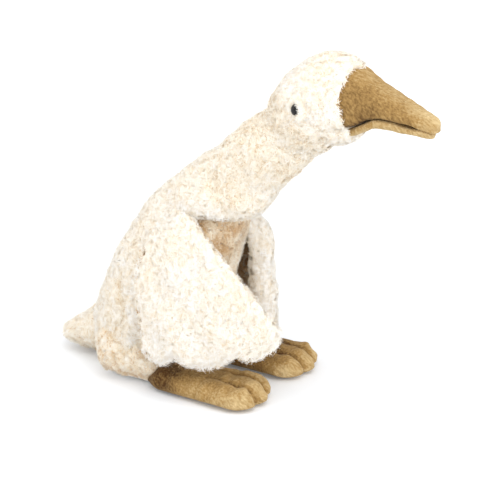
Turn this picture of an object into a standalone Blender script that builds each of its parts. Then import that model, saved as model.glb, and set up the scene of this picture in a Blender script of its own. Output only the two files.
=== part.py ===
# Plush goose, sitting with its neck stretched forward: a stuffed body with a tail, two legs with webbed
# feet, two wing flaps, a two-part beak and two button eyes.
# Metres, +Z up. The goose faces -Y and its right side is -X. Its box is centred over the origin, at z = 0.

import math

import bmesh
import bpy
import numpy as np
from mathutils import Vector

# Body, from the seat up. "Forward" is measured from the middle of the seat, "height" from the floor.
SEAT_LENGTH = 0.084
SEAT_WIDTH = 0.074
BELLY_LENGTH = 0.112
BELLY_WIDTH = 0.102
BELLY_HEIGHT = 0.042
CHEST_LENGTH = 0.106
CHEST_WIDTH = 0.098
CHEST_HEIGHT = 0.082
CHEST_FORWARD = 0.014
SHOULDER_THICKNESS = 0.094
SHOULDER_WIDTH = 0.086
SHOULDER_HEIGHT = 0.120
SHOULDER_FORWARD = 0.032

# Neck, which rises from the shoulder and leans forward by this angle from upright.
NECK_LENGTH = 0.134
NECK_LEAN = math.radians(42.0)
NECK_ROOT_THICKNESS = 0.075
NECK_ROOT_WIDTH = 0.070
NECK_THICKNESS = 0.060
NECK_BOW = -0.004

# Head, whose middle lies ahead of the nape and above it.
HEAD_LENGTH = 0.074
HEAD_HEIGHT = 0.072
HEAD_WIDTH = 0.070
HEAD_FORWARD = 0.0228
HEAD_RISE = 0.0269

# Sections of the head from the nape to the face, as shares of half its length, height, height and width:
# ahead of its middle, above its middle, half thickness, half width. The last value is the slope in degrees.
HEAD_SECTIONS = (
    (-0.37, -0.444, 0.92, 0.94, 45.0),
    (-0.18, -0.222, 0.99, 0.99, 35.0),
    (0.05, -0.056, 1.02, 1.00, 20.0),
    (0.35, 0.030, 1.05, 0.95, 8.0),
    (0.66, 0.070, 0.98, 0.77, 2.0),
    (0.905, 0.000, 0.79, 0.54, 0.0),
    (1.08, -0.083, 0.445, 0.30, 0.0),
    (1.15, -0.083, 0.15, 0.12, 0.0),
)

# Creases that the stuffing leaves in the cover.
NAPE_CREASE = 0.0030
CHEST_CREASE = 0.0075
CHEST_CREASE_ABOVE = 1.0
CHEST_CREASE_SPREAD = 0.30
CREASE_REACH = 0.45
HIP_GATHER = 0.0014
BELLY_STATION = 3
SHOULDER_STATION = 5
NAPE_STATION = 8

# Tail, a stuffed wedge behind the seat.
TAIL_LENGTH = 0.046
TAIL_ROOT_HEIGHT = 0.064
TAIL_ROOT_WIDTH = 0.062
TAIL_TIP_HEIGHT = 0.020
TAIL_TIP_WIDTH = 0.030
TAIL_TIP_LIFT = 0.013
TAIL_SECTIONS = (0.0, 0.35, 0.62, 0.82, 0.94, 1.0)

# Legs, stuffed tubes that lie on the floor from the hip to the heel.
LEG_SPACING = 0.074
HIP_SPACING = 0.050
HIP_FORWARD = -0.035
HIP_DIAMETER = 0.060
ANKLE_DIAMETER = 0.036
RIGHT_HEEL_FORWARD = 0.028
LEFT_HEEL_FORWARD = 0.036
LEG_SECTIONS = (0.0, 0.14, 0.40, 0.70, 0.90, 1.0)

# Feet, webbed and flat under the sole.
FOOT_LENGTH = 0.091
HEEL_WIDTH = 0.036
TOES_WIDTH = 0.060
HEEL_THICKNESS = 0.023
TOE_THICKNESS = 0.015
TOE_SCALLOP = 0.009
TOE_GROOVE = 0.0045
OUTER_TOES_BACK = 0.010
SOLE_SINKS = 0.0006
TOES = 3
FOOT_SECTIONS = (0.0, 0.04, 0.16, 0.34, 0.52, 0.68, 0.82, 0.94, 1.0)
TOE_POINTS = (1.0, 0.90, 0.64, 0.33, 0.0)

# Wings, two-layer flaps sewn to the shoulders.
WING_THICKNESS = 0.0095
WING_SCALLOP = 0.014
WING_LOBE_ENDS = (0.0, 0.32, 0.68, 1.0)

# Each wing's drape: rows from root to hem, columns from its rear edge to its front edge.
# An entry is forward from the middle of the seat, height, and how far the flap stands out from the torso.
RIGHT_WING = (
    ((0.020, 0.141, -0.004), (0.028, 0.146, -0.002), (0.036, 0.150, -0.002), (0.044, 0.153, -0.003)),
    ((0.010, 0.112, 0.007), (0.030, 0.116, 0.009), (0.054, 0.121, 0.008), (0.078, 0.126, 0.000)),
    ((0.010, 0.078, 0.009), (0.042, 0.079, 0.011), (0.078, 0.085, 0.006), (0.108, 0.092, -0.009)),
    ((0.018, 0.041, 0.012), (0.054, 0.042, 0.013), (0.094, 0.044, -0.002), (0.126, 0.056, -0.028)),
)
LEFT_WING = (
    ((0.022, 0.141, -0.004), (0.034, 0.143, -0.002), (0.052, 0.143, -0.002), (0.071, 0.138, -0.014)),
    ((-0.002, 0.112, 0.007), (0.026, 0.112, 0.010), (0.073, 0.114, 0.006), (0.085, 0.116, -0.018)),
    ((-0.012, 0.077, 0.009), (0.020, 0.075, 0.011), (0.079, 0.075, 0.006), (0.084, 0.078, -0.025)),
    ((-0.010, 0.047, 0.012), (0.024, 0.038, 0.013), (0.077, 0.033, 0.008), (0.088, 0.030, -0.019)),
)

# Beak. Its root is sewn into the face, and the mouth line lies between the two parts.
BEAK_LENGTH = 0.061
BEAK_ROOT_DEPTH = 0.022
BEAK_BASE_WIDTH = 0.058
BEAK_TIP_WIDTH = 0.030
RIDGE_ABOVE_MIDDLE = 0.030
MOUTH_BELOW_MIDDLE = 0.0145
MOUTH_RISE = 0.0090
TIP_DROOP = 0.0104
TIP_THICKNESS = 0.0122
LOWER_BEAK_LENGTH = 0.055
LOWER_BEAK_THICKNESS = 0.0088
LOWER_BEAK_NARROWER = 0.0008
MOUTH_OVERLAP = 0.001
BEAK_FACE_DEPTH = 0.005

# Shares of the way from the face to the tip, each with the ridge's height as a share of its whole fall,
# and each with how far the mouth line has sunk from its highest point.
RIDGE_LINE = ((0.28, 0.62), (0.62, 0.27))
MOUTH_LINE = ((0.32, 0.0), (0.70, 0.0040))
BEAK_SECTIONS = (0.0, 0.16, 0.33, 0.50, 0.67, 0.83, 0.95, 1.0)

# Eyes, black buttons with a shank through the cover.
EYE_DIAMETER = 0.0100
EYE_DOME = 0.0042
EYE_BACK = 0.0008
EYE_SHANK_DIAMETER = 0.0034
EYE_SHANK_LENGTH = 0.0090
EYE_FORWARD = -0.004
EYE_RISE = -0.001
EYE_SINKS = 0.0010
EYE_TURN_BACK = math.radians(6.0)

# What is sewn or set together keeps this much room.
SEAM_GAP = 0.0003
FLOOR_DEPTH = 0.040
FLOOR_SPAN = 0.80

# How finely the pieces are divided before they are smoothed.
RING_POINTS = 12
SPAN_RINGS = 2
BEAK_POINTS = 10
EYE_STEPS = 12
WING_STEPS_DOWN = 2
WING_STEPS_ACROSS = 3


def smooth_path(rows, steps):
    """Catmull-Rom rows through the given rows, with the given number of steps to each span."""
    rows = np.asarray(rows, float)
    padded = np.vstack([2 * rows[0] - rows[1], rows, 2 * rows[-1] - rows[-2]])
    out = []
    for span in range(len(rows) - 1):
        before, first, last, after = padded[span : span + 4]
        for t in np.arange(steps) / steps:
            out.append(
                0.5
                * (
                    2 * first
                    + (last - before) * t
                    + (2 * before - 5 * first + 4 * last - after) * t**2
                    + (3 * first - before - 3 * last + after) * t**3
                )
            )
    out.append(rows[-1])
    return np.array(out)


def bump(value, middle, spread):
    """1 at the middle, falling smoothly to 0 over the spread."""
    return np.exp(-(((value - middle) / spread) ** 2))


def place(forward, right, up):
    """Goose directions to world directions: forward is -Y and its right is -X."""
    return np.stack(np.broadcast_arrays(-np.asarray(right), -np.asarray(forward), up), axis=-1)


def material(name, colour, roughness, sheen=0.0):
    made = bpy.data.materials.new(name)
    made.use_nodes = True
    shader = made.node_tree.nodes["Principled BSDF"]
    shader.inputs["Base Color"].default_value = (*colour, 1.0)
    shader.inputs["Roughness"].default_value = roughness
    shader.inputs["Metallic"].default_value = 0.0
    shader.inputs["Sheen Weight"].default_value = sheen
    return made


def mesh_object(name, points, faces, collection, finish=None, smooth_levels=0):
    mesh = bpy.data.meshes.new(name)
    mesh.from_pydata([tuple(point) for point in points], [], faces)
    shape = bmesh.new()
    shape.from_mesh(mesh)
    bmesh.ops.recalc_face_normals(shape, faces=shape.faces)
    shape.to_mesh(mesh)
    shape.free()
    mesh.shade_smooth()
    made = bpy.data.objects.new(name, mesh)
    collection.objects.link(made)
    if finish:
        mesh.materials.append(finish)
    if smooth_levels:
        subdivision = made.modifiers.new("Soft form", "SUBSURF")
        subdivision.levels = smooth_levels
        subdivision.render_levels = smooth_levels
    return made


def loft(name, rings, collection, finish=None, smooth_levels=1, flat_ends=False):
    """Closed skin over rings of equal point counts. A flat end is closed by a strip from top to bottom."""
    rings = np.asarray(rings)
    count, around = rings.shape[:2]
    faces = []
    for ring in range(count - 1):
        for step in range(around):
            after = (step + 1) % around
            faces.append(
                (
                    ring * around + step,
                    ring * around + after,
                    (ring + 1) * around + after,
                    (ring + 1) * around + step,
                )
            )
    for start in (0, (count - 1) * around):
        if not flat_ends:
            faces.append(tuple(start + step for step in range(around)))
            continue
        for step in range(around // 2):
            corners = dict.fromkeys((step, step + 1, around - step - 1, (around - step) % around))
            faces.append(tuple(start + corner for corner in corners))
    return mesh_object(name, rings.reshape(-1, 3), faces, collection, finish, smooth_levels)


def grown(rings, amount):
    """The same rings pushed outwards by this much, square to their skin and past both ends."""
    middles = rings.mean(axis=1, keepdims=True)
    around = np.roll(rings, -1, axis=1) - np.roll(rings, 1, axis=1)
    outward = np.cross(around, np.gradient(rings, axis=0))
    outward /= np.linalg.norm(outward, axis=2, keepdims=True) + 1e-12
    outward *= np.sign((outward * (rings - middles)).sum())
    pushed = rings + amount * outward
    for end, inner in ((0, 1), (-1, -2)):
        axis = middles[end] - middles[inner]
        pushed[end] += amount * axis / np.linalg.norm(axis)
    return pushed


def cut(target, cutter, name):
    boolean = target.modifiers.new(name, "BOOLEAN")
    boolean.operation = "DIFFERENCE"
    boolean.solver = "EXACT"
    boolean.object = cutter


def as_cutter(made):
    made.hide_render = True
    made.display_type = "WIRE"
    return made


def head_middle():
    nape_from_shoulder = NECK_LENGTH * np.array([math.sin(NECK_LEAN), math.cos(NECK_LEAN)])
    return np.array([SHOULDER_FORWARD + HEAD_FORWARD, SHOULDER_HEIGHT + HEAD_RISE]) + nape_from_shoulder


def body_stations():
    """Sections from the seat to the face: forward, height, half thickness, half width, slope in degrees."""
    lean = np.array([math.sin(NECK_LEAN), math.cos(NECK_LEAN)])
    bow = NECK_BOW * np.array([lean[1], -lean[0]])
    shoulder = np.array([SHOULDER_FORWARD, SHOULDER_HEIGHT])
    half_neck = NECK_THICKNESS / 2
    rows = [
        (0.0, -0.008, 0.36 * SEAT_LENGTH, 0.36 * SEAT_WIDTH, 90),
        (0.0, 0.0, SEAT_LENGTH / 2, SEAT_WIDTH / 2, 90),
        (0.0, 0.35 * BELLY_HEIGHT, 0.46 * BELLY_LENGTH, 0.46 * BELLY_WIDTH, 90),
        (0.0, BELLY_HEIGHT, BELLY_LENGTH / 2, BELLY_WIDTH / 2, 86),
        (CHEST_FORWARD, CHEST_HEIGHT, CHEST_LENGTH / 2, CHEST_WIDTH / 2, 73),
        (*shoulder, SHOULDER_THICKNESS / 2, SHOULDER_WIDTH / 2, 61),
    ]
    necks = (
        (0.30, 1.0, NECK_ROOT_THICKNESS / 2, NECK_ROOT_WIDTH / 2, 52),
        (0.62, 0.8, 1.04 * half_neck, 1.06 * half_neck, 47),
        (1.00, 0.0, 1.02 * half_neck, 1.03 * half_neck, 49),
    )
    for share, bowed, thickness, width, slope in necks:
        rows.append((*(shoulder + share * NECK_LENGTH * lean + bowed * bow), thickness, width, slope))
    middle = head_middle()
    for ahead, above, thick, wide, slope in HEAD_SECTIONS:
        forward = middle[0] + ahead * HEAD_LENGTH / 2
        height = middle[1] + above * HEAD_HEIGHT / 2
        rows.append((forward, height, thick * HEAD_HEIGHT / 2, wide * HEAD_WIDTH / 2, slope))
    return np.array(rows)


def body_rings():
    """Sections set across the body. Creases pull the section in where the cover folds."""
    stations = body_stations()
    path = smooth_path(stations, SPAN_RINGS)
    along = np.linspace(0, len(stations) - 1, len(path))[:, None]
    slope = np.radians(path[:, 4:5])
    angle = np.linspace(0, 2 * math.pi, RING_POINTS, endpoint=False)[None, :]
    back = np.sin(angle)
    front = np.clip(CREASE_REACH - back, 0, 1)
    crease = CHEST_CREASE * bump(along, SHOULDER_STATION + CHEST_CREASE_ABOVE, CHEST_CREASE_SPREAD) * front
    crease = crease + NAPE_CREASE * bump(along, NAPE_STATION - 0.1, 0.35)
    gather = HIP_GATHER * bump(along, BELLY_STATION, 0.8) * np.sin(9 * angle + 2.3 * along)
    thickness = path[:, 2:3] - crease + gather
    width = path[:, 3:4] - 0.6 * crease + gather
    forward = path[:, 0:1] - np.sin(slope) * thickness * back
    up = path[:, 1:2] + np.cos(slope) * thickness * back
    return place(forward, width * np.cos(angle), up)


def tail_rings():
    """Wedge that narrows and sinks from the seat's back to a blunt tip."""
    root = SEAT_LENGTH / 2 - 0.012
    reach = BELLY_LENGTH / 2 - root + TAIL_LENGTH - 0.008
    share = np.array(TAIL_SECTIONS)[:, None]
    rounding = np.sqrt(np.clip(1 - (share / 1.03) ** 7, 0, 1))
    half_height = (TAIL_ROOT_HEIGHT + (TAIL_TIP_HEIGHT - TAIL_ROOT_HEIGHT) * share) / 2 * rounding
    half_width = (TAIL_ROOT_WIDTH + (TAIL_TIP_WIDTH - TAIL_ROOT_WIDTH) * share) / 2 * rounding
    middle = TAIL_ROOT_HEIGHT / 2 + (TAIL_TIP_LIFT - TAIL_ROOT_HEIGHT / 2) * share
    angle = np.linspace(0, 2 * math.pi, RING_POINTS, endpoint=False)[None, :]
    return place(
        -(root + reach * share),
        half_width * np.cos(angle),
        middle + half_height * np.sin(angle),
    )


def leg_rings(side, heel):
    """Stuffed tube from inside the hip to the heel, sunk a little so that its underside is flat."""
    share = np.array(LEG_SECTIONS)[:, None]
    start = HIP_FORWARD
    end = heel + 0.004
    hip_round = np.sqrt(np.clip(0.5 + share / 0.3, 0, 1))
    rounding = hip_round * np.sqrt(np.clip(1 - (share / 1.06) ** 10, 0, 1))
    radius = (HIP_DIAMETER + (ANKLE_DIAMETER - HIP_DIAMETER) * share) / 2 * rounding
    across = side * (HIP_SPACING + (LEG_SPACING - HIP_SPACING) * share) / 2
    middle = 0.86 * (HIP_DIAMETER + (ANKLE_DIAMETER - HIP_DIAMETER) * share) / 2
    angle = np.linspace(0, 2 * math.pi, RING_POINTS, endpoint=False)[None, :]
    fold = 0.03 * np.sin(3 * angle + 9 * share)
    radius = radius * (1 + fold)
    return place(
        start + (end - start) * share,
        across + radius * np.cos(angle),
        middle + radius * np.sin(angle),
    )


def foot_rings(side, heel):
    """Sections across a webbed foot: it widens to the toes, which end in lobes with grooves between them."""
    share = np.array(FOOT_SECTIONS)[:, None]
    half_width = HEEL_WIDTH / 2 + (TOES_WIDTH - HEEL_WIDTH) / 2 * np.clip(share / 0.85, 0, 1) ** 0.9
    heel_round = np.sqrt(np.clip(share / 0.12, 0.12, 1))
    toe_round = np.sqrt(np.clip((1.02 - share) / 0.14, 0.1, 1))
    ends = np.minimum(heel_round, toe_round)
    thickness = (HEEL_THICKNESS + (TOE_THICKNESS - HEEL_THICKNESS) * share**0.8) * ends
    quarter = np.array(TOE_POINTS)
    across = np.concatenate([quarter, -quarter[-2::-1], -quarter[1:], quarter[-2:0:-1]])[None, :]
    upper = np.arange(across.size) < across.size / 2
    above = np.where(upper, 1, -1) * np.sqrt(1 - np.abs(across) ** 2.6)
    toe = np.abs(np.cos(math.pi * TOES / 2 * across))
    spread = np.clip((share - 0.30) / 0.55, 0, 1)
    groove = TOE_GROOVE * (1 - toe) ** 2 * spread * (np.abs(across) < 0.97)
    reach = TOE_SCALLOP * (toe - 1) * (1 - 0.25 * np.abs(across)) - OUTER_TOES_BACK * across**2
    forward = heel + FOOT_LENGTH * share + reach * share**3
    height = thickness / 2 * (1 + above) - groove * np.clip(above, 0, 1)
    width = half_width * np.sqrt(np.clip(ends, 0, 1)) * across
    return place(forward, side * (LEG_SPACING / 2 + width), height - SOLE_SINKS)


def torso_half_width(height):
    heights = (0.0, BELLY_HEIGHT, CHEST_HEIGHT, SHOULDER_HEIGHT, SHOULDER_HEIGHT + 0.033)
    widths = (SEAT_WIDTH, BELLY_WIDTH, CHEST_WIDTH, SHOULDER_WIDTH, NECK_ROOT_WIDTH)
    return np.interp(height, heights, widths) / 2


def wing(name, side, drape, collection, finish):
    """Flap spread over its drape points, scalloped at the hem, then given its thickness."""
    rows = [smooth_path(row, WING_STEPS_ACROSS) for row in np.array(drape)]
    grid = np.stack([smooth_path(column, WING_STEPS_DOWN) for column in np.stack(rows, axis=1)], axis=1)
    down, across = grid.shape[:2]
    share = np.linspace(0, 1, across)[None, :]
    fall = np.linspace(0, 1, down)[:, None]
    lobe = np.zeros_like(share)
    for first, last in zip(WING_LOBE_ENDS[:-1], WING_LOBE_ENDS[1:]):
        arch = np.sin(math.pi * np.clip((share - first) / (last - first), 0, 1))
        lobe = np.maximum(lobe, np.sqrt(np.clip(arch, 0, 1)))
    height = grid[..., 1] - WING_SCALLOP * lobe * fall**4
    outward = torso_half_width(height) + grid[..., 2]
    points = place(grid[..., 0], side * outward, height).reshape(-1, 3)
    faces = []
    for row in range(down - 1):
        for step in range(across - 1):
            start = row * across + step
            faces.append((start, start + 1, start + across + 1, start + across))
    made = mesh_object(name, points, faces, collection, finish)
    wall = made.modifiers.new("Two layers", "SOLIDIFY")
    wall.thickness = WING_THICKNESS
    wall.offset = 0.0
    soft = made.modifiers.new("Soft form", "SUBSURF")
    soft.levels = 1
    soft.render_levels = 1
    return made


def beak_lines(forward):
    """Ridge height, mouth height and half width of the beak at distances ahead of the head's middle."""
    head = head_middle()
    root = HEAD_LENGTH / 2 - BEAK_ROOT_DEPTH
    tip = HEAD_LENGTH / 2 + BEAK_LENGTH
    face = HEAD_LENGTH / 2 - BEAK_FACE_DEPTH
    tip_ridge = TIP_THICKNESS / 2 - TIP_DROOP
    fall = RIDGE_ABOVE_MIDDLE - tip_ridge
    ridge = smooth_path(
        [
            (root, RIDGE_ABOVE_MIDDLE),
            (face, RIDGE_ABOVE_MIDDLE - MOUTH_OVERLAP),
            *((face + at * (tip - face), tip_ridge + high * fall) for at, high in RIDGE_LINE),
            (tip, tip_ridge),
        ],
        8,
    )
    mouth = smooth_path(
        [
            (root, -MOUTH_BELOW_MIDDLE),
            (face, -MOUTH_BELOW_MIDDLE),
            *((face + at * (tip - face), MOUTH_RISE - MOUTH_BELOW_MIDDLE - sunk) for at, sunk in MOUTH_LINE),
            (tip, -TIP_DROOP - TIP_THICKNESS / 2),
        ],
        8,
    )
    share = np.clip((forward - root) / (tip - root), 0, 1)
    width = BEAK_TIP_WIDTH + (BEAK_BASE_WIDTH - BEAK_TIP_WIDTH) * (1 - share) ** 1.3
    return (
        head[1] + np.interp(forward, ridge[:, 0], ridge[:, 1]),
        head[1] + np.interp(forward, mouth[:, 0], mouth[:, 1]),
        width / 2,
    )


def beak_section(reach, top_line, bottom_line, narrower=0.0):
    """Rings along the beak between two height lines, rounded over the sides and closed to a blunt end."""
    head = head_middle()
    share = np.array(BEAK_SECTIONS)[:, None]
    root = HEAD_LENGTH / 2 - BEAK_ROOT_DEPTH
    forward = root + (HEAD_LENGTH / 2 + reach - root) * share
    rounding = np.sqrt(np.clip(1 - (share / 1.01) ** 9, 0.02, 1))
    half_width = (beak_lines(forward)[2] - narrower) * rounding
    top = top_line(forward)
    bottom = bottom_line(forward)
    middle = (top + bottom) / 2
    angle = np.linspace(0, 2 * math.pi, BEAK_POINTS, endpoint=False)[None, :]
    lean = np.where(np.sin(angle) > 0, top - middle, middle - bottom) * rounding**0.6
    height = middle + lean * np.sin(angle)
    across = half_width * np.sign(np.cos(angle)) * np.abs(np.cos(angle)) ** 0.85
    return place(head[0] + forward, across, height)


def upper_beak_rings():
    """From just under the mouth line to the ridge: a high dome that flattens towards the tip."""
    rings = beak_section(
        BEAK_LENGTH,
        lambda at: beak_lines(at)[0],
        lambda at: beak_lines(at)[1] - MOUTH_OVERLAP,
    )
    ridge, mouth, _ = beak_lines(-rings[..., 1] - head_middle()[0])
    up = rings[..., 2]
    rings[..., 2] = np.where(up < (ridge + mouth) / 2, mouth + (up - mouth) * 0.18, up)
    return rings


def lower_beak_rings():
    """Strip under the mouth line, a little narrower than the upper beak."""
    return beak_section(
        LOWER_BEAK_LENGTH,
        lambda at: beak_lines(at)[1] + MOUTH_OVERLAP,
        lambda at: beak_lines(at)[1] - LOWER_BEAK_THICKNESS,
        narrower=LOWER_BEAK_NARROWER,
    )


def eye_seat():
    """Point on the head's side where the button sits: forward, outward, up."""
    sections = np.array(HEAD_SECTIONS)
    half_width = HEAD_WIDTH / 2 * np.interp(EYE_FORWARD / (HEAD_LENGTH / 2), sections[:, 0], sections[:, 3])
    outward = half_width * math.sqrt(1 - (EYE_RISE / (HEAD_HEIGHT / 2)) ** 2)
    middle = head_middle()
    return middle[0] + EYE_FORWARD, outward - EYE_SINKS, middle[1] + EYE_RISE


def eye_object(name, side, collection, finish=None, grow=0.0):
    """Turned button: a low dome with a shank on its axis, square to the side of the head."""
    radius = EYE_DIAMETER / 2 + grow
    shank = EYE_SHANK_DIAMETER / 2 + grow
    dome = EYE_DOME + grow
    profile = [(0.0, dome)]
    for turn in np.radians([66, 44, 22]):
        profile.append((radius * math.cos(turn), dome * math.sin(turn)))
    profile += [(radius, 0.0), (0.9 * radius, -EYE_BACK - grow), (shank, -EYE_BACK - grow)]
    profile += [(shank, -EYE_SHANK_LENGTH - grow), (0.0, -EYE_SHANK_LENGTH - grow)]
    points = [(across, 0.0, along) for across, along in profile]
    mesh = bpy.data.meshes.new(name)
    mesh.from_pydata(points, [(k, k + 1) for k in range(len(points) - 1)], [])
    made = bpy.data.objects.new(name, mesh)
    collection.objects.link(made)
    if finish:
        mesh.materials.append(finish)
    screw = made.modifiers.new("Turned", "SCREW")
    screw.steps = EYE_STEPS
    screw.render_steps = EYE_STEPS
    screw.use_merge_vertices = True
    screw.merge_threshold = 0.00005
    screw.use_smooth_shade = True
    forward, outward, up = eye_seat()
    aim = Vector((-side * math.cos(EYE_TURN_BACK), math.sin(EYE_TURN_BACK), 0.0))
    made.location = place(forward, side * outward, up)
    made.rotation_euler = aim.to_track_quat("Z", "Y").to_euler()
    return made


def floor_object(collection):
    """Slab under the floor, which gives everything that rests a flat underside."""
    shape = bmesh.new()
    bmesh.ops.create_cube(shape, size=1.0)
    mesh = bpy.data.meshes.new("floor_cutter")
    shape.to_mesh(mesh)
    shape.free()
    made = bpy.data.objects.new("floor_cutter", mesh)
    made.scale = (FLOOR_SPAN, FLOOR_SPAN, FLOOR_DEPTH)
    made.location.z = -FLOOR_DEPTH / 2
    collection.objects.link(made)
    return made


def clear_scene():
    for old in list(bpy.data.objects):
        bpy.data.objects.remove(old, do_unlink=True)


def collection_named(name):
    made = bpy.data.collections.new(name)
    bpy.context.scene.collection.children.link(made)
    return made


def centre_over_origin(parts, everything):
    """Slides the whole goose so that its box is centred over the origin."""
    bpy.context.view_layer.update()
    graph = bpy.context.evaluated_depsgraph_get()
    corners = []
    for part in parts:
        evaluated = part.evaluated_get(graph)
        corners += [evaluated.matrix_world @ Vector(corner) for corner in evaluated.bound_box]
    corners = np.array(corners)
    middle = (corners.min(axis=0) + corners.max(axis=0)) / 2
    for made in everything:
        made.location.x -= middle[0]
        made.location.y -= middle[1]


def main():
    clear_scene()
    goose = collection_named("Plush goose")
    cutters = collection_named("Cutters")
    plush = material("cream_plush", (0.80, 0.76, 0.68), 0.95, 0.3)
    velour = material("ochre_velour", (0.48, 0.30, 0.11), 0.85, 0.5)
    button = material("black_button", (0.012, 0.012, 0.014), 0.15)

    floor = as_cutter(floor_object(cutters))
    body_room = as_cutter(loft("body_room", grown(body_rings(), SEAM_GAP), cutters))

    body = loft("body", body_rings(), goose, plush)
    cut(body, floor, "Flat seat")
    tail = loft("tail", tail_rings(), goose, plush)
    cut(tail, body_room, "Sewn to the body")
    cut(tail, floor, "Flat underside")
    parts = [body, tail]

    for side, hand, heel in ((1, "right", RIGHT_HEEL_FORWARD), (-1, "left", LEFT_HEEL_FORWARD)):
        leg = loft(f"leg_{hand}", leg_rings(side, heel), goose, plush)
        cut(leg, body_room, "Sewn to the body")
        cut(leg, floor, "Flat underside")
        leg_room = as_cutter(loft(f"leg_room_{hand}", grown(leg_rings(side, heel), SEAM_GAP), cutters))
        foot = loft(f"foot_{hand}", foot_rings(side, heel), goose, velour, flat_ends=True)
        cut(foot, body_room, "Clear of the body")
        cut(foot, leg_room, "Sewn to the leg")
        cut(foot, floor, "Flat sole")
        drape = RIGHT_WING if side > 0 else LEFT_WING
        flap = wing(f"wing_{hand}", side, drape, goose, plush)
        cut(flap, body_room, "Sewn to the shoulder")
        cut(flap, leg_room, "Rests on the leg")
        eye = eye_object(f"eye_{hand}", side, goose, button)
        eye_room = as_cutter(eye_object(f"eye_room_{hand}", side, cutters, grow=SEAM_GAP))
        cut(body, eye_room, f"Eye seat {hand}")
        parts += [leg, foot, flap, eye]

    upper = loft("beak_upper", upper_beak_rings(), goose, velour)
    cut(upper, body_room, "Sewn to the face")
    lower = loft("beak_lower", lower_beak_rings(), goose, velour)
    upper_room = as_cutter(loft("beak_room", grown(upper_beak_rings(), SEAM_GAP), cutters))
    cut(lower, body_room, "Sewn to the face")
    cut(lower, upper_room, "Mouth line")
    parts += [upper, lower]
    centre_over_origin(parts, parts + list(cutters.objects))


main()
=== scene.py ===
import math

import bpy
import numpy as np
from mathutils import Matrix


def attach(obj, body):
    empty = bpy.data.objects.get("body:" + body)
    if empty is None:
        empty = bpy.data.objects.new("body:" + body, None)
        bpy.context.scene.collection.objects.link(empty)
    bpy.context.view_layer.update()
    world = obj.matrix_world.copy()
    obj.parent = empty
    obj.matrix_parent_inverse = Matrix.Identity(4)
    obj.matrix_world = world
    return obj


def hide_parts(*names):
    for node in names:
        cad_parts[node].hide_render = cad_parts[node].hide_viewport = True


# Plush goose: soft covers with a curly pile, velour beak and feet, button eyes, on a white studio floor.
# Shapes are worked out in the goose's own directions (forward, right, up) and then placed in the frame.

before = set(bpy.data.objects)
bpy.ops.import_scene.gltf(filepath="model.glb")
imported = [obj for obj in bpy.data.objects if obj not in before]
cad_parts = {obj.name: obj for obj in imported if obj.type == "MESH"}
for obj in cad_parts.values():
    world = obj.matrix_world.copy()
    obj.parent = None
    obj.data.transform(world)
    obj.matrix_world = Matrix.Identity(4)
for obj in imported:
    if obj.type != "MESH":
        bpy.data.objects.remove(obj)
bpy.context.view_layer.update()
dice = np.random.default_rng(20)
print("frame loaded:", len(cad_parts), "nodes")


# Small tools

def seatMiddle():
    # middle of the flat face that the body rests on
    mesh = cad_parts["body"].data
    at = np.empty(len(mesh.vertices) * 3, np.float32)
    mesh.vertices.foreach_get("co", at)
    at = at.reshape(-1, 3)
    low = at[at[:, 2] < 1e-4]
    return (low.min(axis=0) + low.max(axis=0)) / 2


seat = seatMiddle()


def place(forward, right, up):
    # points in the frame from distances ahead of the seat's middle, to the goose's right and up
    return np.stack(np.broadcast_arrays(seat[0] - right, seat[1] - forward, up), axis=-1)


def unit(vectors):
    return vectors / (np.linalg.norm(vectors, axis=-1, keepdims=True) + 1e-12)


def dot(a, b):
    return (a * b).sum(axis=-1, keepdims=True)


def bump(value, middle, spread):
    # bell curve, 1 at the middle
    return np.exp(-(((value - middle) / spread) ** 2))


def fade(value, start, end):
    # 0 at start, 1 at end, smooth between
    t = np.clip((value - start) / (end - start), 0, 1)
    return t * t * (3 - 2 * t)


def between(value, start, full, lastFull, end):
    # 0 up to start, 1 from full to lastFull, 0 again from end
    return fade(value, start, full) * fade(-value, -end, -lastFull)


def ringAngles(around):
    return np.linspace(0, 2 * math.pi, around, endpoint=False)[None, :]


def smoothRows(rows, steps):
    # each row between two given rows is a cubic through its four neighbours
    rows = np.asarray(rows, float)
    padded = np.concatenate([2 * rows[:1] - rows[1:2], rows, 2 * rows[-1:] - rows[-2:-1]])
    at = np.linspace(0, len(rows) - 1, (len(rows) - 1) * steps + 1)
    span = np.minimum(at.astype(int), len(rows) - 2)
    t = (at - span).reshape(-1, *[1] * (rows.ndim - 1))
    before, first, last, after = (padded[span + k] for k in range(4))
    return 0.5 * (
        2 * first
        + (last - before) * t
        + (2 * before - 5 * first + 4 * last - after) * t**2
        + (3 * first - before - 3 * last + after) * t**3
    )


def ripple(points, size, seed, waves=14):
    # sum of plane waves in random directions, about -1 to 1, with humps about this far apart
    own = np.random.default_rng(seed)
    toward = unit(own.normal(size=(waves, 3))) * (2 * math.pi / size) * own.uniform(0.6, 1.5, (waves, 1))
    return np.sin(points @ toward.T + own.uniform(0, 6.3, waves)).sum(axis=-1) * 1.4 / math.sqrt(waves * 2)


def gridNormals(grid, wraps):
    # cross product of the two directions along the grid, turned away from each ring's middle
    if wraps:
        around = np.roll(grid, -1, axis=1) - np.roll(grid, 1, axis=1)
    else:
        around = np.gradient(grid, axis=1)
    along = np.gradient(grid, axis=0)
    normal = np.cross(around, along)
    length = np.linalg.norm(normal, axis=2)
    normal = unit(normal)
    if wraps:
        outward = grid - grid.mean(axis=1, keepdims=True)
        normal *= np.sign((normal * outward * length[..., None]).sum())
    return normal


def soften(grid, *waves):
    # moves rings along their normals by the sum of ripples, each with its size, seed and depth
    depth = sum(ripple(grid, size, seed) * deep for size, seed, deep in waves)
    return grid + gridNormals(grid, True) * depth[..., None]


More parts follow.
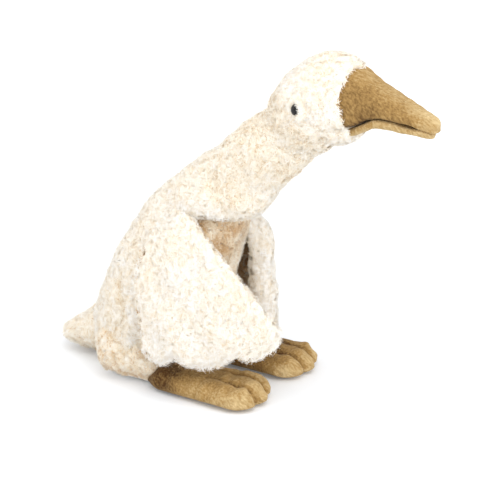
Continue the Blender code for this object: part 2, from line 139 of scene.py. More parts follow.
def newMesh(name, points, faces, corners):
    # faces is one flat array of corner indices, all faces with this many corners
    mesh = bpy.data.meshes.new(name)
    mesh.vertices.add(len(points))
    mesh.vertices.foreach_set("co", np.ascontiguousarray(points, np.float32).ravel())
    mesh.loops.add(faces.size)
    mesh.loops.foreach_set("vertex_index", faces.astype(np.int32).ravel())
    count = np.asarray(corners, np.int32)
    mesh.polygons.add(len(count))
    mesh.polygons.foreach_set("loop_start", np.concatenate([[0], np.cumsum(count)[:-1]]).astype(np.int32))
    mesh.polygons.foreach_set("use_smooth", np.ones(len(count), bool))
    mesh.update(calc_edges=True)
    mesh.validate()
    return mesh


def addPiece(name, mesh, material, stands=None):
    # an object for the mesh, riding on the goose's one body and, for some, shown in place of a solid
    made = bpy.data.objects.new(name, mesh)
    bpy.context.scene.collection.objects.link(made)
    mesh.materials.append(material)
    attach(made, "root")
    if stands:
        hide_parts(stands)
    return made


def paintPoints(mesh, name, values):
    # one number at each point, which a material reads by this name
    layer = mesh.attributes.new(name, "FLOAT", "POINT")
    layer.data.foreach_set("value", np.ascontiguousarray(values, np.float32).ravel())


def tube(name, grid, material, stands=None, flatEnds=(False, False), tone=None):
    # closed skin over rings, with each end closed by a strip across it or by a fan to its middle,
    # and with its faces turned so that its volume is positive
    rows, around = grid.shape[:2]
    at = np.arange(rows * around).reshape(rows, around)
    after = np.roll(at, -1, axis=1)
    quads = np.stack([at[:-1], after[:-1], after[1:], at[1:]], axis=-1).reshape(-1, 4)
    points = grid.reshape(-1, 3)
    paint = None if tone is None else np.broadcast_to(tone, (rows, around)).ravel()
    faces = [quads.ravel()]
    corners = [np.full(len(quads), 4)]
    for end, flat in zip((0, -1), flatEnds):
        ring = at[end] if end == -1 else at[end][::-1]
        if flat:
            half = around // 2
            step = np.arange(half)
            across = [ring[step], ring[step + 1], ring[-step - 2], ring[(-step - 1) % around]]
            strip = np.stack(across, axis=-1)
            faces += [strip[0, :3], strip[1:-1].ravel(), strip[-1, [0, 1, 3]]]
            corners += [np.full(1, 3), np.full(half - 2, 4), np.full(1, 3)]
        else:
            middle = len(points)
            points = np.vstack([points, grid[end].mean(axis=0)])
            if paint is not None:
                paint = np.append(paint, paint[ring].mean())
            fan = np.stack([ring, np.roll(ring, -1), np.full(around, middle)], axis=-1)
            faces.append(fan.ravel())
            corners.append(np.full(around, 3))
    mesh = newMesh(name, points, np.concatenate(faces), np.concatenate(corners))
    mesh.calc_loop_triangles()
    index = np.empty(len(mesh.loop_triangles) * 3, np.int32)
    mesh.loop_triangles.foreach_get("vertices", index)
    corner = points[index.reshape(-1, 3)]
    volume = np.einsum("ij,ij->i", corner[:, 0], np.cross(corner[:, 1], corner[:, 2])).sum()
    if volume < 0:
        mesh.flip_normals()
    if paint is not None:
        paintPoints(mesh, "tone", paint)
    return addPiece(name, mesh, material, stands)


# Materials

def newMaterial(name):
    made = bpy.data.materials.new(name)
    made.use_nodes = True
    return made, made.node_tree.nodes, made.node_tree.links, made.node_tree.nodes["Principled BSDF"]


def setInputs(node, values):
    for name, value in values.items():
        node.inputs[name].default_value = value


def addNode(nodes, kind, values, **settings):
    # a new node with these settings and input values
    node = nodes.new(kind)
    for name, value in settings.items():
        setattr(node, name, value)
    setInputs(node, values)
    return node


def addRamp(nodes, stops):
    # a colour ramp through these positions and colours
    ramp = nodes.new("ShaderNodeValToRGB")
    marks = ramp.color_ramp.elements
    marks[0].position, marks[1].position = stops[0][0], stops[-1][0]
    marks[0].color, marks[1].color = (*stops[0][1], 1), (*stops[-1][1], 1)
    for at, colour in stops[1:-1]:
        marks.new(at).color = (*colour, 1)
    return ramp


def blendColours(nodes, links, amount, first, second):
    # from the first colour to the second; a Mix node has its colours at inputs 6 and 7 and at output 2
    mix = addNode(nodes, "ShaderNodeMix", {}, data_type="RGBA")
    setInputs(mix, {6: (*first, 1), 7: (*second, 1)})
    links.new(amount, mix.inputs[0])
    return mix.outputs[2]


def addRange(nodes, links, value, start, end, low, high):
    # a value from start to end becomes one from low to high
    limits = {"From Min": start, "From Max": end, "To Min": low, "To Max": high}
    node = addNode(nodes, "ShaderNodeMapRange", limits)
    links.new(value, node.inputs["Value"])
    return node.outputs["Result"]


def addMath(nodes, links, operation, first, second):
    # the second is another node's output or a plain number
    node = addNode(nodes, "ShaderNodeMath", {}, operation=operation)
    links.new(first, node.inputs[0])
    if isinstance(second, float):
        node.inputs[1].default_value = second
    else:
        links.new(second, node.inputs[1])
    return node.outputs[0]


def addScaled(nodes, links, scaled, factor, added):
    # scaled * factor + added
    node = addNode(nodes, "ShaderNodeMath", {1: factor}, operation="MULTIPLY_ADD")
    links.new(scaled, node.inputs[0])
    links.new(added, node.inputs[2])
    return node.outputs[0]


def napGrain():
    # fine slanted ribs and soft patches, as short pile shows: a mask for colour and a height for the bump
    group = bpy.data.node_groups.new("napGrain", "ShaderNodeTree")
    for name in ("Fine", "Patch", "Stretch"):
        group.interface.new_socket(name, in_out="INPUT", socket_type="NodeSocketFloat")
    for name in ("Patches", "Height"):
        group.interface.new_socket(name, in_out="OUTPUT", socket_type="NodeSocketFloat")
    nodes, links = group.nodes, group.links
    into = nodes.new("NodeGroupInput")
    out = nodes.new("NodeGroupOutput")
    where = nodes.new("ShaderNodeTexCoord")
    turn = addNode(nodes, "ShaderNodeMapping", {"Rotation": (0.6, 0.5, 0.3)})
    links.new(where.outputs["Object"], turn.inputs["Vector"])
    join = addNode(nodes, "ShaderNodeCombineXYZ", {"X": 1.0, "Y": 1.0})
    links.new(into.outputs["Stretch"], join.inputs["Z"])
    squeeze = addNode(nodes, "ShaderNodeVectorMath", {}, operation="MULTIPLY")
    links.new(turn.outputs["Vector"], squeeze.inputs[0])
    links.new(join.outputs["Vector"], squeeze.inputs[1])
    for point, scale, detail, roughness, name in (
        (squeeze.outputs["Vector"], "Fine", 3.0, 0.6, "Height"),
        (where.outputs["Object"], "Patch", 4.0, 0.55, "Patches"),
    ):
        noise = addNode(nodes, "ShaderNodeTexNoise", {"Detail": detail, "Roughness": roughness})
        links.new(point, noise.inputs["Vector"])
        links.new(into.outputs[scale], noise.inputs["Scale"])
        # the middle part of the noise's range becomes -0.5 to 0.5
        links.new(addRange(nodes, links, noise.outputs["Fac"], 0.32, 0.68, -0.5, 0.5), out.inputs[name])
    return group


grain = napGrain()


def addNap(nodes, links, shader, look):
    # the shared grain with this material's own values, its height as a bump
    nap = addNode(nodes, "ShaderNodeGroup", {}, node_tree=grain)
    setInputs(nap, {"Fine": look["fine"], "Patch": look["patch"], "Stretch": look["stretch"]})
    strength, distance = look["bump"]
    height = addNode(nodes, "ShaderNodeBump", {"Strength": strength, "Distance": distance})
    links.new(nap.outputs["Height"], height.inputs["Height"])
    links.new(height.outputs["Normal"], shader.inputs["Normal"])
    return nap


def setFinish(shader, look):
    setInputs(shader, {
        "Roughness": look["roughness"], "Specular IOR Level": look["shine"],
        "Sheen Weight": look["sheen"], "Sheen Roughness": look["sheenRoughness"],
    })


def velourMaterial(name, look):
    # short ochre pile: its tone runs from deep painted shade through the ochre to painted highlight, with nap
    # patches and fine ribs over it
    made, nodes, links, shader = newMaterial(name)
    nap = addNap(nodes, links, shader, look)
    tone = addNode(nodes, "ShaderNodeAttribute", {}, attribute_name="tone")
    patchy = addScaled(nodes, links, nap.outputs["Patches"], look["patchDepth"], tone.outputs["Fac"])
    ribbed = addScaled(nodes, links, nap.outputs["Height"], look["ribDepth"], patchy)
    ramp = addRamp(nodes, ((0.0, look["deep"]), (0.5, look["middle"]), (1.0, look["light"])))
    links.new(ribbed, ramp.inputs["Fac"])
    links.new(ramp.outputs["Color"], shader.inputs["Base Color"])
    setFinish(shader, look)
    shader.inputs["Sheen Tint"].default_value = (*look["sheenTint"], 1)
    return made


def pileMaterial(name, look):
    # colour from the strand's own map: across it is the strand's tone, whose low end is painted shade, along
    # it root to tip, where the darker root colour is painted shade deep in the pile
    made, nodes, links, shader = newMaterial(name)
    where = addNode(nodes, "ShaderNodeUVMap", {}, uv_map="OFBake")
    parts = nodes.new("ShaderNodeSeparateXYZ")
    links.new(where.outputs["UV"], parts.inputs[0])
    height = addRamp(nodes, ((0.0, look["root"]), (0.75, look["tip"])))
    links.new(parts.outputs["Y"], height.inputs["Fac"])
    stops = ((0.0, "shade"), (0.25, "tan"), (0.5, "cream"), (1.0, "white"))
    tone = addRamp(nodes, [(at, look[colour]) for at, colour in stops])
    links.new(parts.outputs["X"], tone.inputs["Fac"])
    colour = addNode(nodes, "ShaderNodeMix", {0: 1.0}, data_type="RGBA", blend_type="MULTIPLY")
    links.new(height.outputs["Color"], colour.inputs[6])
    links.new(tone.outputs["Color"], colour.inputs[7])
    links.new(colour.outputs[2], shader.inputs["Base Color"])
    setFinish(shader, look)
    # the back of a strand passes on part of the light that falls on its front
    facing = nodes.new("ShaderNodeNewGeometry")
    through = addMath(nodes, links, "MULTIPLY", facing.outputs["Backfacing"], look["through"])
    passing = nodes.new("ShaderNodeBsdfTranslucent")
    links.new(colour.outputs[2], passing.inputs["Color"])
    both = nodes.new("ShaderNodeMixShader")
    links.new(through, both.inputs[0])
    links.new(shader.outputs["BSDF"], both.inputs[1])
    links.new(passing.outputs["BSDF"], both.inputs[2])
    links.new(both.outputs[0], nodes["Material Output"].inputs["Surface"])
    return made


def coverMaterial(name, look):
    # the knitted back that shows between the roots of the pile
    made, nodes, links, shader = newMaterial(name)
    nap = addNap(nodes, links, shader, look)
    # the patches run from -0.5 to 0.5, and the blend from 0 to 1
    amount = addMath(nodes, links, "ADD", nap.outputs["Patches"], 0.5)
    links.new(blendColours(nodes, links, amount, look["deep"], look["light"]), shader.inputs["Base Color"])
    setFinish(shader, look)
    return made


# the middle colour is the ochre itself; the deep end carries painted shade and the light end painted
# highlight
velour = velourMaterial("ochreVelour", {
    "fine": 620.0, "patch": 75.0, "stretch": 0.35, "patchDepth": 0.15, "ribDepth": 0.38,
    "deep": (0.085, 0.037, 0.011), "middle": (0.39, 0.236, 0.083), "light": (0.70, 0.53, 0.28),
    "bump": (0.8, 0.0007), "roughness": 0.9, "shine": 0.1,
    "sheen": 0.22, "sheenRoughness": 0.45, "sheenTint": (1.0, 0.82, 0.52),
})
# root, shade and tan are painted shade: the root for the depths of the pile, shade and tan for folds, the
# chest, the wing gaps and the hollows between clumps
pile = pileMaterial("creamPile", {
    "root": (0.915, 0.805, 0.635), "tip": (0.998, 0.990, 0.968), "shade": (0.65, 0.43, 0.225),
    "tan": (0.83, 0.70, 0.52), "cream": (0.985, 0.933, 0.825), "white": (1.0, 1.0, 1.0),
    "through": 0.40, "roughness": 0.85, "shine": 0.15, "sheen": 0.5, "sheenRoughness": 0.4,
})
cover = coverMaterial("coverKnit", {
    "fine": 600.0, "patch": 160.0, "stretch": 0.8, "deep": (0.96, 0.89, 0.79), "light": (0.99, 0.965, 0.92),
    "bump": (0.6, 0.0006), "roughness": 0.95, "shine": 0.1,
    "sheen": 0.0, "sheenRoughness": 0.5,
})


# Pile

# lengths in metres, angles in degrees for rise and loose, and drops in the root-to-tip colour at a strand's
# points below its tip, which paint shade towards the root
plushPile = {
    "spacing": 0.0031, "each": 19, "patch": 0.0023, "low": 0.0002, "layer": 0.0011, "dome": 0.0013,
    "rise": 2.0, "rises": (0.2, 1.6), "loose": 20.0, "frizz": 1.4, "curl": 0.30, "arch": 0.12,
    "width": 0.00042, "widths": (0.6, 1.4), "waist": 0.85, "lengths": (0.7, 1.2), "rootBack": 0.35,
    "lowest": 0.0007, "toneSpread": 0.05, "shadeBetweenClumps": 0.28, "flecks": 0.10, "fleckDepth": 0.38,
    "lowShade": 0.8, "shadeTowardsRoot": (0.25, 0.25, 0.1, 0.1, 0.0), "puff": 0.34, "glint": 0.05,
}


def strandPiece(name, clumps):
    # every clump is a low dome of strands that lie over each other, most along the comb and some astray;
    # a strand is a ribbon through root, middle and tip, narrowing to a point, with its face outward
    strand = plushPile
    at, normal, comb = clumps["at"], clumps["normal"], clumps["comb"]
    many, each = len(at), strand["each"]
    stray = dice.normal(size=(many, 3))
    stray = unit(stray - dot(stray, normal) * normal)
    along = unit(comb * clumps["combing"][:, None] + stray * (1 - clumps["combing"])[:, None])

    def spread(values):
        return np.repeat(values, each, axis=0)

    count = many * each
    n = spread(normal)
    across = unit(np.cross(n, spread(along)))
    down = unit(np.cross(across, n))
    share = np.sqrt(dice.uniform(0, 1, (count, 1)))
    turn = dice.uniform(0, 2 * math.pi, (count, 1))
    offset = (across * np.cos(turn) + down * np.sin(turn)) * share * strand["patch"]
    depth = spread(clumps["depth"])[:, None]
    layer = strand["layer"] * dice.uniform(0, 1, (count, 1))
    level = depth * (strand["low"] + layer + strand["dome"] * (1 - share**2))
    sway = dice.normal(size=(count, 1)) * strand["frizz"]
    way = unit(spread(along) * np.cos(sway) + across * np.sin(sway))
    upright = dice.uniform(0, 1, (count, 1)) ** 3 * strand["loose"]
    rise = np.radians(strand["rise"] * dice.uniform(*strand["rises"], (count, 1)) + upright)
    reach = (spread(clumps["length"]) * dice.uniform(*strand["lengths"], count))[:, None]
    root = spread(at) + offset + n * level - way * reach * strand["rootBack"]
    aim = way * np.cos(rise) + n * np.sin(rise)
    tip = root + aim * reach
    curl = across * dice.normal(size=(count, 1)) * strand["curl"] * reach
    mid = root * 0.5 + tip * 0.5 + n * reach * strand["arch"] + curl
    for points in (root, mid, tip):
        points[:, 2] = np.maximum(points[:, 2], strand["lowest"])
    side = unit(np.cross(unit(tip - root), n))
    width = (strand["width"] * dice.uniform(*strand["widths"], count) / 2)[:, None]
    waist = side * width * strand["waist"]
    points = np.stack([root - side * width, root + side * width, mid - waist, mid + waist, tip], axis=1)
    base = np.arange(count)[:, None] * 5
    faces = np.concatenate([base + np.array([[0, 1, 3, 2]]), base + np.array([[2, 3, 4]])], axis=1)
    mesh = newMesh(name, points.reshape(-1, 3), faces.reshape(-1), np.tile([4, 3], count))
    # its tone is brightest at the top of the clump, with painted shade low down between clumps; its
    # root-to-tip colour also gets painted shade low in the pile and towards the root
    highest = depth[:, 0] * (strand["low"] + strand["layer"] + strand["dome"])
    lowDown = np.clip(1 - level[:, 0] / highest, 0, 1)
    tone = spread(clumps["tone"]) + dice.normal(size=count) * strand["toneSpread"]
    tone = tone - lowDown**1.5 * strand["shadeBetweenClumps"]
    tone = tone - strand["fleckDepth"] * (dice.uniform(0, 1, count) < strand["flecks"])
    tones = np.repeat(np.clip(tone, 0.02, 0.98)[:, None], 5, axis=1)
    heights = np.clip(1 - lowDown[:, None] * strand["lowShade"] - np.array(strand["shadeTowardsRoot"]), 0.02, 0.98)
    marks = np.stack([tones, heights], axis=-1).reshape(-1, 2)
    uvMap = mesh.uv_layers.new(name="OFBake")
    uvMap.data.foreach_set("uv", marks[faces.reshape(-1)].astype(np.float32).ravel())
    # it is shaded mostly as the soft dome that it lies on
    bulge = offset / strand["patch"] * strand["puff"]
    shaded = unit(n + bulge + side * dice.normal(size=(count, 1)) * strand["glint"])
    mesh.normals_split_custom_set_from_vertices(np.repeat(shaded, 5, axis=0))
    return addPiece(name, mesh, pile)


def scatter(grid, comb=None, spacing=plushPile["spacing"]):
    # clump middles spread evenly by area over rings, with the surface's direction and comb there; the
    # pile is combed along the rings' order where nothing else is said
    if comb is None:
        comb = np.gradient(grid, axis=0)
    normal = gridNormals(grid, True)
    grid, normal, comb = (np.concatenate([a, a[:, :1]], axis=1) for a in (grid, normal, comb))
    rows, around = grid.shape[:2]
    one, two = grid[1:, :-1] - grid[:-1, :-1], grid[:-1, 1:] - grid[:-1, :-1]
    area = np.linalg.norm(np.cross(one, two), axis=2).ravel()
    many = int(area.sum() / spacing**2)
    level = (np.arange(many) + dice.uniform(0, 1, many)) / many
    cell = np.searchsorted(np.cumsum(area) / area.sum(), level).clip(0, len(area) - 1)
    row, step = cell // (around - 1), cell % (around - 1)
    a, b = dice.uniform(0, 1, (2, many, 1))

    def inCell(values):
        upper = values[row, step] * (1 - b) + values[row, step + 1] * b
        lower = values[row + 1, step] * (1 - b) + values[row + 1, step + 1] * b
        return upper * (1 - a) + lower * a

    share = np.stack([(row + a[:, 0]) / (rows - 1), (step + b[:, 0]) / (around - 1)], axis=1)
    n = unit(inCell(normal))
    c = inCell(comb)
    return {"at": inCell(grid), "normal": n, "comb": unit(c - dot(c, n) * n), "share": share}


def keep(clumps, mask):
    return {name: values[mask] for name, values in clumps.items()}


def dress(clumps, length, combing, tone, depth=1.0):
    # gives each clump its strands' length, how far they are combed, their tone and the clump's height
    many = len(clumps["at"])
    for name, value in (("length", length), ("combing", combing), ("tone", tone), ("depth", depth)):
        clumps[name] = np.broadcast_to(value, many).astype(float)
    return clumps


# a cover is this share of its solid's size, less its own inset, and the pile fills the rest
coverShrink = 0.966
coverLowest = 0.0010


# Body

bodyShape = {
    "seat": (0.084, 0.074), "belly": (0.112, 0.102, 0.042), "chest": (0.106, 0.098, 0.082, 0.014),
    "shoulder": (0.094, 0.086, 0.120, 0.032), "neckLength": 0.134, "neckLean": 42.0,
    "neckRoot": (0.075, 0.070), "neck": 0.060, "bow": -0.004,
    "head": (0.074, 0.072, 0.070), "headAhead": (0.0228, 0.0269),
    "napeCrease": 0.0034, "inset": 0.0026,
    "foldUp": 0.1455, "foldSlope": 0.04, "foldStart": (0.020, 0.045), "foldLast": 7.2,
    "foldDepth": 0.0090, "foldFades": 0.016, "foldEdge": 0.0045, "foldSwell": 0.0030, "swellBelow": -0.013,
    "flankDepth": 0.0028, "tuckDepth": 0.0022, "chestFill": 0.0042,
}
# along the head in half lengths and above its middle in half heights, then height, width and slope
headSections = (
    (-0.37, -0.444, 0.92, 0.94, 45.0),
    (-0.18, -0.222, 0.99, 0.99, 35.0),
    (0.05, -0.056, 1.02, 1.00, 20.0),
    (0.35, 0.030, 1.05, 0.95, 8.0),
    (0.66, 0.070, 0.98, 0.77, 2.0),
    (0.905, 0.000, 0.79, 0.54, 0.0),
    (1.08, -0.083, 0.445, 0.30, 0.0),
    (1.15, -0.083, 0.15, 0.12, 0.0),
)
lean = math.radians(bodyShape["neckLean"])
leanWay = np.array([math.sin(lean), math.cos(lean)])
shoulderAt = np.array([bodyShape["shoulder"][3], bodyShape["shoulder"][2]])
headAt = shoulderAt + bodyShape["neckLength"] * leanWay + bodyShape["headAhead"]
headHalf = bodyShape["head"][0] / 2


def bodyStations():
    s = bodyShape
    bow = s["bow"] * np.array([leanWay[1], -leanWay[0]])
    neck = s["neck"] / 2
    belly, chest = s["belly"], s["chest"]
    # forward, up, half thickness, half width and slope of each section
    rows = [
        (0.0, -0.008, 0.36 * s["seat"][0], 0.36 * s["seat"][1], 90),
        (0.0, 0.0, s["seat"][0] / 2, s["seat"][1] / 2, 90),
        (0.0, 0.35 * belly[2], 0.46 * belly[0], 0.46 * belly[1], 90),
        (0.0, belly[2], belly[0] / 2, belly[1] / 2, 86),
        (chest[3], chest[2], chest[0] / 2, chest[1] / 2, 73),
        (*shoulderAt, s["shoulder"][0] / 2, s["shoulder"][1] / 2, 61),
    ]
    for share, bowed, thick, wide, slope in (
        (0.30, 1.0, s["neckRoot"][0] / 2, s["neckRoot"][1] / 2, 52),
        (0.62, 0.8, 1.04 * neck, 1.06 * neck, 47),
        (1.00, 0.0, 1.02 * neck, 1.03 * neck, 49),
    ):
        rows.append((*(shoulderAt + share * s["neckLength"] * leanWay + bowed * bow), thick, wide, slope))
    length, height, width = s["head"]
    for ahead, above, thick, wide, slope in headSections:
        rows.append((headAt[0] + ahead * length / 2, headAt[1] + above * height / 2,
                     thick * height / 2, wide * width / 2, slope))
    return np.array(rows)


def foldHeight(ahead):
    # the fold under the neck is almost level, a little lower towards the front
    return bodyShape["foldUp"] - bodyShape["foldSlope"] * (ahead - 0.05)


def gooseWays(points):
    # forward, right and up of points in the frame
    return seat[1] - points[..., 1], seat[0] - points[..., 0], points[..., 2]


def flankCrease(points):
    # 1 along two upright tucks that the wings leave in the cover behind them, each a swaying line
    ahead, right, up = gooseWays(points)
    sway = 0.004 * np.sin(up * 130)
    first = bump(ahead, -0.009 + sway + 0.10 * (up - 0.07), 0.0042) * between(up, 0.030, 0.050, 0.085, 0.105)
    second = bump(ahead, 0.004 - sway, 0.0040) * between(up, 0.012, 0.026, 0.038, 0.052)
    return (first + second) * (np.abs(right) > 0.02)


def neckTuck(points):
    # 1 along the slanting tuck where each side of the neck meets the shoulder
    ahead, right, up = gooseWays(points)
    along = (ahead - shoulderAt[0]) * leanWay[0] + (up - shoulderAt[1]) * leanWay[1]
    across = (up - shoulderAt[1]) * leanWay[0] - (ahead - shoulderAt[0]) * leanWay[1]
    line = 0.058 + 0.40 * (across + 0.006)
    return bump(along, line, 0.0050) * fade(np.abs(right), 0.016, 0.024) * bump(across, 0.006, 0.020)


def bodyGrid(steps, around):
    # ellipses set across a line from the seat to the face, drawn in at the creases
    stations = bodyStations()
    path = smoothRows(stations, steps)
    along = np.linspace(0, len(stations) - 1, len(path))[:, None]
    slope = np.radians(path[:, 4:5])
    angle = ringAngles(around)
    back = np.sin(angle)
    s = bodyShape
    crease = s["napeCrease"] * bump(along, 7.9, 0.30)
    thickness = path[:, 2:3] * coverShrink - crease - s["inset"]
    width = path[:, 3:4] * coverShrink - 0.6 * crease - s["inset"]
    thickness, width = np.maximum(thickness, 0.001), np.maximum(width, 0.001)
    forward = path[:, 0:1] - np.sin(slope) * thickness * back
    up = path[:, 1:2] + np.cos(slope) * thickness * back
    grid = place(forward, width * np.cos(angle), up)
    normal = gridNormals(grid, True)
    soft = ripple(grid, 0.045, 3) * 0.0010 + ripple(grid, 0.016, 4) * 0.0005
    gathers = bump(along, 3.0, 0.9) * np.sin(11 * angle + 2.3 * along) * 0.0007
    # the fold under the neck swells above its line and is drawn in deepest at the line, less further below
    ahead, right, up = gooseWays(grid)
    below = foldHeight(ahead) - up
    foldHere = fade(ahead, *s["foldStart"]) * (along < s["foldLast"])
    drawnIn = np.where(below > 0, np.exp(-below / s["foldFades"]), fade(below, -s["foldEdge"], 0.0))
    fold = foldHere * (s["foldSwell"] * bump(below, s["swellBelow"], 0.009) - s["foldDepth"] * drawnIn)
    fold = fold - s["flankDepth"] * flankCrease(grid) - s["tuckDepth"] * neckTuck(grid)
    # the chest fills out towards the far wing
    farSide = fade(-right, 0.012, 0.030)
    fold = fold + s["chestFill"] * farSide * bump(ahead, 0.064, 0.020) * bump(up, 0.096, 0.034)
    grid = grid + normal * (soft + gathers + fold)[..., None]
    grid[..., 2] = np.maximum(grid[..., 2], coverLowest)
    return grid


bodySurface = bodyGrid(14, 120)
bodyCover = tube("bodyCover", bodySurface, cover, "body")


eyeShape = {
    "radius": 0.0050, "dome": 0.0042, "rim": 0.0004, "back": 0.0008, "step": 0.0005, "around": 48,
    "shank": 0.0017, "shankLength": 0.0090, "forward": -0.004, "rise": -0.001, "sinks": 0.0010,
    "turnBack": 6.0,
}
# body pile tone: random tone, painted light on the head and along the fold's edge, painted shade under the
# fold, on the chest, by the floor, in the gap by the wings, on the neck and in the flank and neck tucks
bodyToneAndPaintedLight = {
    "base": 0.85, "fine": 0.09, "broad": 0.08, "shadeUnderFold": 0.66, "chest": 0.24, "nearChestShade": 0.20,
    "shadeByFloor": 0.16, "foldEdge": 0.14, "shadeByWing": 0.30, "neck": 0.18, "flankShade": 0.42, "tuck": 0.22,
    "head": 0.04,
}
# the bare spot round the eye from the head's middle, and how near the eye the pile is longer or shorter
eyeGaps = {"forward": -0.0058, "rise": -0.001, "radius": 0.0040, "near": 0.009}
pileLengths = {"body": 0.0052, "head": 0.0042, "beforeEye": 0.0050, "behindEye": 0.0036}
# pieces of the body's pile, each between two of its sections, counted from the seat
bodyParts = (("pileSeat", -1, 3.4), ("pileChest", 3.4, 5.4), ("pileNeck", 5.4, 8.0), ("pileHead", 8.0, 99))


def beakEdge(rise):
    # how far ahead of the head's middle the pile reaches: least beside the nostrils, more above and below
    return np.interp(rise, (-0.020, -0.009, 0.012, 0.033), (0.036, 0.0323, 0.0228, 0.037))


def bodyTone(at, share, onHead):
    # light on the back, painted light on the head and along the fold's edge, painted shade under the fold, on
    # the chest, low by the floor, in the gap by the wings, on the neck and in the tucks
    t = bodyToneAndPaintedLight
    forward, right, up = gooseWays(at)
    below = foldHeight(forward) - up
    onTorso = share < 7
    nearSide = fade(right, -0.012, 0.014)
    shadeUnderFold = np.where(below > 0, np.exp(-below / 0.014), fade(below, -0.004, 0.001))
    shadeUnderFold = shadeUnderFold * fade(forward, 0.025, 0.050)
    bib = fade(below, 0.0, 0.010) * onTorso
    chest = fade(forward, 0.035, 0.055) * bib * (1 + 0.5 * ripple(at, 0.018, 10))
    wingGapShade = fade(forward, 0.040, 0.060) * fade(np.abs(right), 0.020, 0.034) * bib
    tone = t["base"] + t["fine"] * ripple(at, 0.011, 8) + t["broad"] * ripple(at, 0.05, 9)
    tone = tone - t["shadeUnderFold"] * shadeUnderFold * (0.55 + 0.45 * nearSide)
    tone = tone - (t["chest"] + t["nearChestShade"] * nearSide) * chest
    tone = tone - t["shadeByFloor"] * fade(-up, -0.030, -0.006)
    tone = tone + t["foldEdge"] * bump(below, -0.009, 0.006) * fade(forward, 0.020, 0.040) * onTorso
    tone = tone - t["shadeByWing"] * wingGapShade * fade(np.abs(right), 0.030, 0.038)
    tone = tone - t["neck"] * fade(share, 6.0, 7.4) * (1 - fade(share, 9.2, 10.8))
    return tone - t["flankShade"] * flankCrease(at) - t["tuck"] * neckTuck(at) + t["head"] * onHead


def bodyPile():
    spots = scatter(bodySurface, -np.gradient(bodySurface, axis=0))
    forward, right, up = gooseWays(spots["at"])
    fromHead, rise = forward - headAt[0], up - headAt[1]
    # no pile under the seat, in the eye seats, or where the beak is sewn on
    eyeGap = np.hypot(fromHead - eyeGaps["forward"], rise - eyeGaps["rise"])
    keepers = (up > 0.004) & ~((eyeGap < eyeGaps["radius"]) & (np.abs(right) > 0.02))
    keepers &= ~((fromHead > beakEdge(rise)) & (rise > -0.021))
    spots = keep(spots, keepers)
    fromHead, rise = fromHead[keepers], rise[keepers]
    share = spots["share"][:, 0] * (len(bodyStations()) - 1)
    onHead = fade(share, 8.2, 10.0)
    nearBeak = fade(fromHead, 0.010, 0.022) * fade(rise, -0.030, -0.020)
    # strands by the beak point forward over its edge
    ahead = np.tile([0.0, -1.0, 0.0], (len(share), 1))
    mixed = spots["comb"] * (1 - nearBeak[:, None]) + ahead * nearBeak[:, None]
    spots["comb"] = unit(mixed - dot(mixed, spots["normal"]) * spots["normal"])
    length = pileLengths["body"] + (pileLengths["head"] - pileLengths["body"]) * onHead
    byEye = np.hypot(fromHead - eyeShape["forward"], rise - eyeShape["rise"]) < eyeGaps["near"]
    eyeLength = np.where(fromHead > eyeShape["forward"], pileLengths["beforeEye"], pileLengths["behindEye"])
    length = np.where(byEye & (share > 9), eyeLength, length)
    combing = 0.45 + 0.15 * onHead + 0.35 * nearBeak
    dress(spots, length, combing, bodyTone(spots["at"], share, onHead), 1 - 0.3 * onHead)
    for name, low, high in bodyParts:
        strandPiece(name, keep(spots, (share >= low) & (share < high)))


bodyPile()
print("body done")


# Tail

tailShape = {
    "length": 0.046, "root": (0.064, 0.062), "tip": (0.020, 0.030), "lift": 0.013, "inset": 0.0036,
    "inBody": (0.012, 0.008), "short": 0.003,
}


def tailGrid(rows, around):
    # wedge that narrows and sinks from the seat's back to a blunt tip
    root = bodyShape["seat"][0] / 2 - tailShape["inBody"][0]
    reach = bodyShape["belly"][0] / 2 - root + tailShape["length"] - tailShape["inBody"][1]
    share = 1 - (1 - np.linspace(0, 1, rows)[:, None]) ** 1.5
    rounding = np.sqrt(np.clip(1 - (share / 1.004) ** 7, 0, 1))
    (high, wide), (tipHigh, tipWide) = tailShape["root"], tailShape["tip"]
    inset = tailShape["inset"] * rounding
    halfHeight = (high + (tipHigh - high) * share) / 2 * rounding * coverShrink - inset
    halfWidth = (wide + (tipWide - wide) * share) / 2 * rounding * coverShrink - inset
    middle = high / 2 + (tailShape["lift"] - high / 2) * share
    angle = ringAngles(around)
    behind = root + (reach - tailShape["short"]) * share
    grid = place(-behind, halfWidth * np.cos(angle), middle + halfHeight * np.sin(angle))
    grid = soften(grid, (0.02, 12, 0.0008))
    grid[..., 2] = np.maximum(grid[..., 2], coverLowest)
    return grid


tailSurface = tailGrid(40, 64)
tailCover = tube("tailCover", tailSurface, cover, "tail")
spots = scatter(tailSurface)
spots = keep(spots, (spots["share"][:, 0] > 0.20) & (spots["at"][:, 2] > 0.003))
# random tone with painted shade on the underside, where the pile faces down
tailTone = 0.72 + 0.13 * ripple(spots["at"], 0.011, 18) - 0.15 * fade(-spots["normal"][:, 2], -0.1, 0.8)
strandPiece("pileTail", dress(spots, pileLengths["body"], 0.50, tailTone))
print("tail done")


# Legs and feet

legShape = {
    "spacing": 0.074, "hipSpacing": 0.050, "hipForward": -0.035, "hip": 0.060, "ankle": 0.036,
    "heels": {1: 0.028, -1: 0.036}, "inset": 0.0036, "pileLength": 0.0042, "pileDepth": 0.8,
}
footShape = {
    "length": 0.091, "heel": (0.036, 0.023), "toes": (0.060, 0.0180), "heelBack": 0.013,
    "scallop": 0.0075, "cornersBack": 0.012, "groove": 0.0046, "grooveEnds": (0.34, 0.90),
    "valleyWidth": 0.075, "seamLevel": 0.38, "wrinkle": 0.0007, "soleLowest": 0.0006,
}
# foot tone: painted shade at the heel, over the back of each foot and in the grooves, painted highlight at
# the toes and along the edge
footToneAndPaintedLight = {
    "base": 0.46, "forward": 0.14, "grooveShade": 0.42, "heel": 0.46, "heelShadeEnds": (0.16, 0.46),
    "behind": {1: 0.03, -1: 0.38}, "toes": 0.12, "edge": 0.10,
}
# side 1 is the goose's right, -1 its left
hands = {1: "Right", -1: "Left"}


